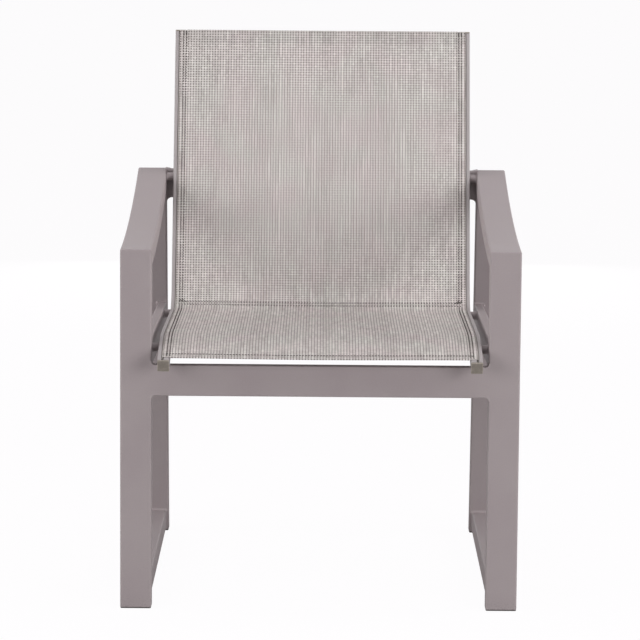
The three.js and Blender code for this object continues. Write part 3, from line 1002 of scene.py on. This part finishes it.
@dataclass
class RailShape:
    """The shape that both sling rails share, and the places on it."""

    outer: float = 258.3 * MM
    width: float = 19 * MM
    depth: float = 20 * MM
    corner: float = 1.8 * MM
    slot_from_outer: float = 8 * MM
    slot_width: float = 4 * MM
    channel_top: float = 2.6 * MM
    channel_bottom: float = 9.6 * MM
    channel_width: float = 8 * MM
    nose_tip: Pair = (-50 * MM, 412.3 * MM)
    nose_angle: float = math.radians(22.5)
    nose_radius: float = 350 * MM
    seat_fall: float = math.radians(1.6)
    seat_length: float = 323.2 * MM
    bend_radius: float = 50 * MM
    lean: float = math.radians(13.5)
    top: float = 902 * MM
    narrowing: float = 1.8 * MM
    seam_share: float = 0.42
    line: SideLine = field(init=False)

    def __post_init__(self) -> None:
        """Joins the nose, the seat, the bend and the back, whose length follows from the rails' top."""
        nose_turn = self.nose_angle + self.seat_fall
        bend_turn = math.pi / 2 - self.lean + self.seat_fall
        runs = [
            (self.nose_radius * nose_turn, -nose_turn),
            (self.seat_length, 0),
            (self.bend_radius * bend_turn, bend_turn),
        ]
        low = SideLine.through(self.nose_tip, self.nose_angle, [*runs, (1, 0)]).starts[-1]
        back = (self.top - low[1]) / math.cos(self.lean)
        self.line = SideLine.through(self.nose_tip, self.nose_angle, [*runs, (back, 0)])

    @property
    def inner(self) -> float:
        """The x of the rails' inner face."""
        return self.outer - self.width

    @property
    def slot(self) -> float:
        """The x of the middle of the slot."""
        return self.outer - self.slot_from_outer

    @property
    def seam(self) -> float:
        """The distance along the line at which the seat and the back panel meet."""
        return float(self.line.froms[2] + self.seam_share * self.line.lengths[2])

    def placed(self, x: Array, distance: Array, depth: Array) -> Array:
        """Places points on the rails.

        A point is the line's point at its distance, less its depth times the normal there. On the back, x
        shrinks evenly with the height, because the rails draw together upwards.

        Args:
            x: The points' x on the seat.
            distance: Their distances along the line, S of them.
            depth: Their depths below the line. Both x and depth have S rows, or one.

        Returns:
            The points, S by N by 3.
        """
        points, normals = self.line.frame(distance)
        y, z = np.moveaxis(points[:, None] - np.asarray(depth)[..., None] * normals[:, None], 2, 0)
        low = self.line.starts[-1][1]
        share = np.clip((z - low) / (self.top - low), 0, 1)
        return points_at(x * (1 - share * self.narrowing / self.outer), y, z)


@dataclass
class SlingRail:
    """One bent sling rail, an extrusion with a slot for the sling's edge, and the plugs in its two ends.

    Each ring of a plug has its distance from the rail's end, its inset and how far into an edge it is.
    """

    side: Side
    shape: RailShape
    finishes: Finishes
    cap_thickness: float = 2.5 * MM
    gap: float = 0.3 * MM
    lip: float = 0.5 * MM
    mouth: float = 0.3 * MM
    shoulder: float = 0.6 * MM
    floor: float = 2 * MM
    cap_out_mm: tuple[float, ...] = (2.5, 0.9, 0.35, 0.08, 0.0, 0.0)
    cap_inset_mm: tuple[float, ...] = (0.0, 0.0, 0.15, 0.5, 1.0, 1.4)
    cap_edge: tuple[float, ...] = (0.0, 0.3, 1.0, 1.0, 0.4, 0.0)

    def outline(self) -> Outline:
        """Works out the extrusion's section, with its slot and the channel below it.

        Returns:
            The outline, as x and depth.
        """
        shape, slot = self.shape, self.shape.slot
        half, wide = shape.slot_width / 2, shape.channel_width / 2
        top, bottom = shape.channel_top, shape.channel_bottom
        corners = [
            (slot + half, 0, self.lip),
            (shape.outer, 0, shape.corner),
            (shape.outer, shape.depth, shape.corner),
            (shape.inner, shape.depth, shape.corner),
            (shape.inner, 0, shape.corner),
            (slot - half, 0, self.lip),
            (slot - half, top, self.mouth),
            (slot - wide, top, self.shoulder),
            (slot - wide, bottom, self.floor),
            (slot + wide, bottom, self.floor),
            (slot + wide, top, self.shoulder),
            (slot + half, top, self.mouth),
        ]
        table = np.array(corners)
        return rounded(table[:, :2], table[:, 2], steps=5)

    def build_rail(self) -> None:
        """Builds the extrusion, bent along the sling's line."""
        outline = self.outline()
        ends = self.cap_thickness + self.gap
        distance = self.shape.line.stations(ends, self.shape.line.length - ends)
        rings = self.shape.placed(self.side.value * outline.points[:, 0], distance, outline.points[:, 1])
        name = self.side.named("sling_rail")
        rail = ring_mesh(name + "_extrusion", rings, outline.edge)
        settle(rail, self.finishes.rail_coat, (name,))

    def build_cap(self, end: str) -> None:
        """Builds the plug that closes one end: a plate whose outer rim is chamfered and rounded.

        Args:
            end: "front" or "top".
        """
        shape = self.shape
        outline = rounded_rectangle((shape.inner, shape.outer), (0, shape.depth), shape.corner)
        out, inset = np.array(self.cap_out_mm) * MM, np.array(self.cap_inset_mm) * MM
        distance = out if end == "front" else shape.line.length - out
        x, depth = np.moveaxis(outline.grown(-inset), 2, 0)
        rings = shape.placed(self.side.value * x, distance, depth)
        name = self.side.named(f"{end}_cap")
        cap = ring_mesh(name + "_moulding", rings, np.array(self.cap_edge)[:, None])
        settle(cap, self.finishes.cap, (name,))

    def build(self) -> None:
        """Builds the rail and both of its plugs."""
        self.build_rail()
        self.build_cap("front")
        self.build_cap("top")


# Fastenings


@dataclass
class Fastening:
    """One spacer between rail and frame, and the button-head bolt that goes through it.

    The head's crown is a share of its radius, and drill is the depth and the radius of the drilled hole's
    tip, in shares of the socket's. The spacer's chamfer has each ring's distance and inset.
    """

    side: Side
    place: str
    finishes: Finishes
    sides: int = 96
    head_radius: float = 5.25 * MM
    head_height: float = 3.3 * MM
    crown: float = 0.5
    dome_power: float = 0.9
    dome_rings: int = 9
    socket_across: float = 4 * MM
    socket_depth: float = 2 * MM
    socket_rim: Pair = (0.1 * MM, 0.2 * MM)
    drill: Pair = (1.2, 0.2)
    shank_radius: float = 3 * MM
    weld: float = 3 * MM
    chamfer_mm: tuple[Pair, ...] = ((0, 0.9), (0.1, 0.5), (0.6, 0.08), (1.0, 0))

    def turned(self, name: str, x: Array, radius: Array, hexagon: Array) -> Piece:
        """Turns a shape about its node's axis, which runs across the chair.

        Round the axis, a round ring's radius stays the same, and a six-sided ring's is half the distance
        across its flats over the cosine of the angle from the nearest flat.

        Args:
            name: The node that it stands for.
            x: Each ring's distance outwards from the node's inner end.
            radius: Each ring's radius, or half the distance across its flats.
            hexagon: 1 for a six-sided ring and 0 for a round one.

        Returns:
            The new object.
        """
        low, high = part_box(name)
        middle = (low + high) / 2
        start = low.x if self.side is Side.LEFT else -high.x
        angle = np.linspace(0, 2 * np.pi, self.sides, endpoint=False)
        from_flat = (angle + np.pi / 6) % (np.pi / 3) - np.pi / 6
        reach = radius[:, None] * np.where(hexagon[:, None] > 0, 1 / np.cos(from_flat), 1)
        across = np.broadcast_to(self.side.value * (start + x)[:, None], reach.shape)
        rings = [across, middle.y + reach * np.cos(angle), middle.z + reach * np.sin(angle)]
        return ring_mesh(name + "_turned", np.stack(rings, axis=-1))

    def build_bolt(self) -> None:
        """Builds the bolt: a domed head with a hex socket, and the shank that goes on into the frame."""
        name = self.side.named(f"{self.place}_bolt")
        low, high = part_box(name)
        depth, flat = self.socket_depth, self.socket_across / 2
        drill_depth, drill_radius = self.drill
        rim_depth, rim_width = self.socket_rim
        angle = np.linspace(0, 1, self.dome_rings) * np.pi / 2
        dome_x = self.head_height * (1 - np.cos(angle)) ** self.dome_power
        dome_radius = self.head_radius * (self.crown + (1 - self.crown) * np.sin(angle))
        shank_x = [self.head_height, self.head_height, high.x - low.x]
        x = np.concatenate([[drill_depth * depth, depth, rim_depth, 0], dome_x, shank_x])
        socket = [drill_radius * flat, flat, flat, flat + rim_width]
        radius = np.concatenate([socket, dome_radius, [self.shank_radius] * len(shank_x)])
        hexagon = np.zeros(len(x))
        hexagon[1:3] = 1
        settle(self.turned(name, x, radius, hexagon), self.finishes.steel, (name,))

    def build_spacer(self) -> None:
        """Builds the spacer: a turned bush, chamfered at the rail and welded all round to the frame."""
        name = self.side.named(f"{self.place}_spacer")
        low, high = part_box(name)
        length, full = high.x - low.x, (high.z - low.z) / 2
        chamfer_x, chamfer = np.array(self.chamfer_mm).T * MM
        away, out = fillet(self.weld, steps=7)
        x = np.concatenate([chamfer_x, length - away[::-1]])
        radius = full + np.concatenate([-chamfer, out[::-1]])
        spacer = self.turned(name, x, radius, np.zeros(len(x)))
        settle(spacer, self.finishes.coat, (name,))

    def build(self) -> None:
        """Builds the bolt and the spacer."""
        self.build_bolt()
        self.build_spacer()


# Sling


@dataclass
class Panel:
    """One panel of the sling: stretched flat between the rails, its side edges turned down into their slots.

    Near the rails its points lie close together, from fine_from to fine_to inwards of the turned edge.
    """

    name: str
    shape: RailShape
    finishes: Finishes
    start: float
    end: float
    hem: Pair
    thickness: float = 1.2 * MM
    clearance: float = 0.3 * MM
    edge_depth: float = 2.6 * MM
    turn_radius: float = 1.1 * MM
    turn_points: int = 7
    side_rows: Pair = (6.8 * MM, 11.6 * MM)
    pucker: float = 0.22 * MM
    pucker_width: float = 1.2 * MM
    sag: float = 1.5 * MM
    fine_from: float = 0.6 * MM
    fine_to: float = 18 * MM
    fine_points: int = 30
    wide_points: int = 26
    hem_step: float = 0.1 * MM

    @property
    def lie(self) -> float:
        """The depth of the middle of the cloth, which lies just over the rails."""
        return -self.clearance - self.thickness / 2

    def depth_at(self, across: Array) -> Array:
        """Gives the depth of the middle of the cloth at some x.

        It dips by the sag in the middle, as the square of a cosine, and by the pucker at each row of
        stitches, as a bell curve.

        Args:
            across: The x of each point.

        Returns:
            The depths.
        """
        dip = self.sag * np.cos(np.clip(across / self.shape.inner, -1, 1) * np.pi / 2) ** 2
        off = np.abs(across)[..., None] - (self.shape.slot - np.array(self.side_rows))
        return self.lie + dip + self.pucker * np.exp(-((off / self.pucker_width) ** 2)).sum(axis=-1)

    def section(self) -> tuple[Array, Array, Array]:
        """Works out the cloth's line across the chair.

        From the slot it rises straight, turns inwards through a quarter circle and then runs across.

        Returns:
            The x and the depth of each point, and the distance along the cloth.
        """
        slot = self.shape.slot
        angle = np.linspace(0, np.pi / 2, self.turn_points)
        turn_x = slot - self.turn_radius * (1 - np.cos(angle))
        turn_depth = self.lie + self.turn_radius * (1 - np.sin(angle))
        fine = slot - self.turn_radius - np.linspace(self.fine_from, self.fine_to, self.fine_points)
        rest = np.linspace(fine[-1], 0, self.wide_points)[1:]
        half_x = np.concatenate([[slot, slot], turn_x[1:], fine, rest])
        down = [self.edge_depth, (self.edge_depth + turn_depth[0]) / 2]
        half_depth = np.concatenate([down, turn_depth[1:], self.depth_at(fine), self.depth_at(rest)])
        x = np.concatenate([half_x, -half_x[-2::-1]])
        depth = np.concatenate([half_depth, half_depth[-2::-1]])
        along = np.concatenate([[0], np.cumsum(np.hypot(np.diff(x), np.diff(depth)))])
        return x, depth, along - along[-1] / 2

    def on_cloth(self, x: Array, distance: Array, lift: float) -> Array:
        """Places points on the cloth's upper side, each at its own x and distance.

        Args:
            x: The points' x.
            distance: Their distances along the rails.
            lift: How far above the cloth's upper side they are.

        Returns:
            The points, M by 3.
        """
        depth = self.depth_at(x) - self.thickness / 2 - lift
        return self.shape.placed(x[:, None], distance, depth[:, None])[:, 0]

    def build(self, with_pieces: list[Piece]) -> None:
        """Args:
            with_pieces: The hems and stitches that are on it. Not used.
        """
        x, depth, along = self.section()
        fine = np.array([end + side * self.hem_step for end in self.hem for side in (-1, 1)])
        within = fine[(fine > self.start) & (fine < self.end)]
        distance = np.union1d(self.shape.line.stations(self.start, self.end), within)
        doubled = (distance > self.hem[0]) & (distance < self.hem[1])
        flat = np.stack(np.broadcast_arrays(along, distance[:, None]), axis=-1)
        grid = self.shape.placed(x, distance, depth)
        cloth = sheet_mesh(self.name + "_cloth", grid, flat, doubled, self.thickness)
        settle(cloth, self.finishes.mesh, (self.name,))


@dataclass
class Sling:
    """The whole sling: seat panel, back panel, their hems and all the stitching.

    The stitches are drawn longer and thicker than real ones, to go with the weave. Their thread is a spindle:
    each ring has its share of the way along and its girth. row_start is a share of the pitch, and the seam's
    tacks swing in by a share of their length while they fall from tack_from to tack_to.
    """

    shape: RailShape
    finishes: Finishes
    setback: float = 10 * MM
    top_setback: float = 0.5 * MM
    seam_gap: float = 0.3 * MM
    hem_thickness: float = 1.1 * MM
    hem_gap: float = 0.1 * MM
    hem_inset: float = 1.2 * MM
    hem_columns: int = 60
    hem_rows: int = 8
    fold_rows: int = 9
    top_hem: float = 23 * MM
    front_hem: float = 12 * MM
    stitch_pitch: float = 4.8 * MM
    stitch_length: float = 2.7 * MM
    stitch_radius: float = 0.9 * MM
    stitch_lift: float = 0.35 * MM
    stitch_sides: int = 6
    spindle: tuple[Pair, ...] = ((0, 0.25), (0.12, 0.8), (0.5, 1), (0.88, 0.8), (1, 0.25))
    flatness: float = 0.6
    row_start: float = 0.15
    row_from_slot: float = 5 * MM
    row_from_edge: float = 2 * MM
    row_from_top: float = 1 * MM
    seam_rows: Pair = (-4.2 * MM, 4.2 * MM)
    tack_length: float = 9 * MM
    tack_stitches: int = 5
    tack_swing: float = 0.8
    tack_from: float = 1.1
    tack_to: float = 0.2

    @property
    def fold(self) -> float:
        """The radius of a hem's fold."""
        return (self.hem_thickness + self.hem_gap) / 2

    def stitches(self, name: str, starts: Array, ends: Array, normals: Array) -> Piece:
        """Lays one short thread per stitch, all in one mesh.

        Each thread is a spindle, lower than it is wide: its rings lie at shares of the way from the stitch's
        start to its end, and turn evenly about that line.

        Args:
            name: The piece's name.
            starts: Where the stitches start, M by 3.
            ends: Where they end.
            normals: The cloth's normals there.

        Returns:
            The new object.
        """
        along = ends - starts
        side = np.cross(along, normals)
        side /= np.linalg.norm(side, axis=1, keepdims=True)
        share, girth = np.array(self.spindle).T[..., None]
        angle = np.linspace(0, 2 * np.pi, self.stitch_sides, endpoint=False)
        centre = starts[:, None] + share * along[:, None]
        wide = self.stitch_radius * girth * np.cos(angle)
        high = self.stitch_radius * girth * np.sin(angle) * self.flatness
        spokes = wide[..., None] * side[:, None, None] + high[..., None] * normals[:, None, None]
        points = (centre[:, :, None] + spokes).reshape(len(starts), -1, 3)
        quads, lids = ring_faces(points[0], len(self.spindle))
        first = points.shape[1] * np.arange(len(starts))[:, None]
        faces = (first[..., None] + quads).reshape(-1, 4).tolist()
        faces += np.concatenate([first + lid for lid in lids]).tolist()
        return settle(new_piece(name, points, faces), self.finishes.thread)

    def row(self, panel: Panel, starts: Array, ends: Array) -> Array:
        """Puts stitches on the cloth.

        Args:
            panel: The panel that they are on.
            starts: The x and the distance where each starts, M by 2.
            ends: The same where each ends.

        Returns:
            Their starts, ends and normals, 3 by M by 3.
        """
        low, high = (panel.on_cloth(*places.T, self.stitch_lift) for places in (starts, ends))
        raised = panel.on_cloth(*starts.T, self.stitch_lift + MM)
        return np.stack([low, high, (raised - low) / MM])

    def straight_row(self, panel: Panel, start: Pair, end: Pair) -> Array:
        """Lays an even row of stitches along a straight line.

        Args:
            panel: The panel that it is on.
            start: The x and the distance where it starts.
            end: The same where it ends.

        Returns:
            The starts, ends and normals of its stitches, 3 by M by 3.
        """
        line = np.subtract(end, start)
        length = np.linalg.norm(line)
        count = int(length / self.stitch_pitch)
        places = self.stitch_pitch * (np.arange(count) + self.row_start)
        starts = start + places[:, None] * (line / length)
        return self.row(panel, starts, starts + self.stitch_length * (line / length))

    def seam_tack(self, panel: Panel, side: Side, from_slot: float) -> Array:
        """Lays the bar tack at one end of the seam: stitches end to end, in an S that swings inwards.

        Along the S the distance falls evenly to the seam, and x follows a smooth step, 3 t^2 - 2 t^3.

        Args:
            panel: The back panel.
            side: The side that it is on.
            from_slot: How far inwards from the slot it starts.

        Returns:
            The starts, ends and normals of its stitches, 3 by M by 3.
        """
        share = np.linspace(0, 1, self.tack_stitches + 1)
        inwards = from_slot + self.tack_swing * self.tack_length * (3 * share**2 - 2 * share**3)
        fall = self.tack_from + share * (self.tack_to - self.tack_from)
        distance = self.shape.seam + self.tack_length * fall
        places = np.stack([side.value * (self.shape.slot - inwards), distance], axis=1)
        return self.row(panel, places[:-1], places[1:])

    def build_hem(self, panel: Panel, name: str, at: float, inwards: float, depth: float) -> Piece:
        """Builds a hem: the cloth folds under in a half circle and runs back below itself.

        Args:
            panel: The panel that it belongs to.
            name: The piece's name.
            at: The distance along the rails of the fold.
            inwards: 1 if the panel lies at longer distances than the fold, and -1 if at shorter ones.
            depth: How far the hem runs back from the fold.

        Returns:
            The new object.
        """
        angle = np.linspace(0, np.pi, self.fold_rows)
        back = np.linspace(self.fold, depth, self.hem_rows)[1:]
        into = np.concatenate([self.fold * (1 - np.sin(angle)), back])
        below = np.concatenate([self.fold * (1 - np.cos(angle)), np.full(len(back), 2 * self.fold)])
        reach = self.shape.inner - self.hem_inset
        x = np.linspace(-reach, reach, self.hem_columns)
        grid = self.shape.placed(x, at + inwards * into, panel.depth_at(x) + below[:, None])
        run = np.concatenate([[0], np.cumsum(np.hypot(np.diff(into), np.diff(below)))])
        flat = np.stack(np.broadcast_arrays(x, (at - inwards * run)[:, None]), axis=-1)
        hem = sheet_mesh(name, grid, flat, np.zeros(len(into)), self.hem_thickness)
        return settle(hem, self.finishes.mesh)

    def build(self) -> None:
        """Builds both panels with their hems, side stitches, seam and bar tacks."""
        shape, seam, front = self.shape, self.shape.seam, self.setback
        top, half = shape.line.length - self.top_setback, self.seam_gap / 2
        hems = ((front, front + self.front_hem), (top - self.top_hem, top))
        seat = Panel("seat_sling", shape, self.finishes, front + self.fold, seam - half, hems[0])
        back = Panel("back_sling", shape, self.finishes, seam + half, top - self.fold, hems[1])
        rails = [side.value * (shape.slot - off) for side in Side for off in seat.side_rows]
        low, high = (seam + off for off in self.seam_rows)
        first, inner = front + self.row_from_edge, hems[0][1] - self.row_from_edge
        last = top - self.row_from_top
        reach = shape.slot - self.row_from_slot
        tack = last - self.tack_length
        seat_rows = [self.straight_row(seat, (x, first), (x, low)) for x in rails]
        seat_rows += [self.straight_row(seat, (-reach, at), (reach, at)) for at in (low, inner)]
        back_rows = [self.straight_row(back, (x, high), (x, last)) for x in rails]
        back_rows += [self.straight_row(back, (-reach, high), (reach, high))]
        back_rows += [self.row(back, np.array([[x, tack]]), np.array([[x, last]])) for x in rails]
        back_rows += [self.seam_tack(back, side, off) for side in Side for off in back.side_rows]
        seat_stitches = self.stitches("seat_stitching", *np.concatenate(seat_rows, axis=1))
        back_stitches = self.stitches("back_stitching", *np.concatenate(back_rows, axis=1))
        front_hem = self.build_hem(seat, "seat_front_hem", front, 1, self.front_hem)
        top_hem = self.build_hem(back, "back_top_hem", top, -1, self.top_hem)
        seat.build([seat_stitches, front_hem])
        back.build([back_stitches, top_hem])


# Studio


@dataclass(frozen=True)
class Softbox:
    """A soft square lamp: its place, the side of its square, its power in watts, and if gloss shows it."""

    name: str
    place: tuple[float, float, float]
    size: float
    power: float
    in_gloss: bool = True


@dataclass
class Studio:
    """The plain pale floor and world, the soft lamps and the camera."""

    camera_place: tuple[float, float, float] = (-0.0008, -5.6778, 1.2270)
    camera_tilt: float = math.radians(7.993)
    camera_roll: float = 0.0078
    lens: float = 191.25
    sensor: float = 36.0
    aim: tuple[float, float, float] = (0.0, 0.0, 0.45)
    softboxes: tuple[Softbox, ...] = (
        Softbox("left_softbox", (-3.0, -3.6, 1.2), 2.2, 67.0),
        Softbox("right_softbox", (3.0, -3.6, 1.2), 2.2, 87.0),
        Softbox("left_side_softbox", (-3.2, -0.4, 2.0), 2.0, 46.0),
        Softbox("right_side_softbox", (3.2, -0.4, 2.0), 2.0, 47.0),
        Softbox("overhead_softbox", (0.0, -0.6, 3.3), 4.0, 39.0),
        Softbox("rear_softbox", (0.0, 4.2, 0.9), 1.6, 40.0, in_gloss=False),
    )
    floor_size: float = 60.0
    white: str = "#fffeff"
    world_light: str = "#fdfcff"
    world_strength: float = 0.12

    def build_floor(self) -> None:
        """Builds the floor, a plain square of studio paint."""
        corners = np.array([(-1, -1, 0), (1, -1, 0), (1, 1, 0), (-1, 1, 0)]) * self.floor_size / 2
        floor = new_piece("studio_floor", corners, [[0, 1, 2, 3]])
        floor.data.materials.append(StudioPaint().material())

    def build_world(self) -> None:
        """Builds the world: white behind the object and in its gloss, and a soft even light."""
        world = bpy.data.worlds.new("studio")
        world.use_nodes = True
        world.node_tree.nodes.clear()
        add = partial(add_node, world.node_tree)
        rays = add("LightPath").outputs
        seen = add("Math", {0: rays["Is Camera Ray"], 1: rays["Is Glossy Ray"]}, operation="MAXIMUM")
        shown = add("Math", {0: seen, 1: rays["Is Transmission Ray"]}, operation="MAXIMUM")
        white = add("Background", {"Color": self.white, "Strength": 1.0})
        light = add("Background", {"Color": self.world_light, "Strength": self.world_strength})
        add("OutputWorld", {"Surface": add("MixShader", {0: shown, 1: light, 2: white})})
        bpy.context.scene.world = world

    def add_lamp(self, softbox: Softbox) -> None:
        """Adds a softbox that faces the middle of the chair.

        Args:
            softbox: The lamp's name, place, size and power, and if gloss shows it.
        """
        lamp = bpy.data.lights.new(softbox.name, "AREA")
        lamp.size, lamp.energy = softbox.size, softbox.power
        holder = in_scene(softbox.name, lamp)
        holder.location = softbox.place
        holder.visible_glossy = softbox.in_gloss
        holder.rotation_mode = "QUATERNION"
        holder.rotation_quaternion = (holder.location - Vector(self.aim)).to_track_quat("Z", "Y")

    def build_camera(self) -> None:
        """Builds the camera at the photograph's viewpoint: tilted down, and rolled about its own axis."""
        camera = bpy.data.cameras.new("camera")
        camera.lens, camera.sensor_width = self.lens, self.sensor
        holder = in_scene("camera", camera)
        tilt = Matrix.Rotation(math.pi / 2 - self.camera_tilt, 4, "X")
        roll = Matrix.Rotation(self.camera_roll, 4, "Z")
        holder.matrix_world = Matrix.Translation(self.camera_place) @ tilt @ roll
        bpy.context.scene.camera = holder

    def build(self) -> None:
        """Builds the whole studio and sets plain view colours."""
        self.build_camera()
        self.build_floor()
        self.build_world()
        for softbox in self.softboxes:
            self.add_lamp(softbox)
        bpy.context.scene.view_settings.view_transform = "Standard"


# The chair


def dress_hidden_nodes(finishes: Finishes) -> None:
    """Gives the CAD nodes that stay, which are right as they are, their finished materials.

    Args:
        finishes: The chair's materials.
    """
    splines = [(f"{panel}_spline", finishes.spline, Slot.SPLINE) for panel in ("seat", "back")]
    nuts = [(f"{place}_nut", finishes.steel, Slot.HARDWARE) for place in PLACES]
    for side in Side:
        for part, material, slot in splines + nuts:
            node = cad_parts[side.named(part)]
            node.data.materials.clear()
            node.data.materials.append(material)
            LOG.info("%s: the CAD node stays, in %s", side.named(part), material.name)


def main() -> None:
    """Builds the studio, then the chair from its side frames to its sling."""
    logging.basicConfig(level=logging.INFO, format="%(message)s")
    Studio().build()
    finishes = Finishes()
    shape = RailShape()
    for side in Side:
        SideFrame(side, finishes).build()
    Crossbar("front_crossbar", finishes).build()
    Crossbar("rear_crossbar", finishes, weld=9 * MM, headroom=1 * MM).build()
    for side in Side:
        SlingRail(side, shape, finishes).build()
        for place in PLACES:
            Fastening(side, place, finishes).build()
    Sling(shape, finishes).build()
    dress_hidden_nodes(finishes)


if __name__ == "__main__":
    main()
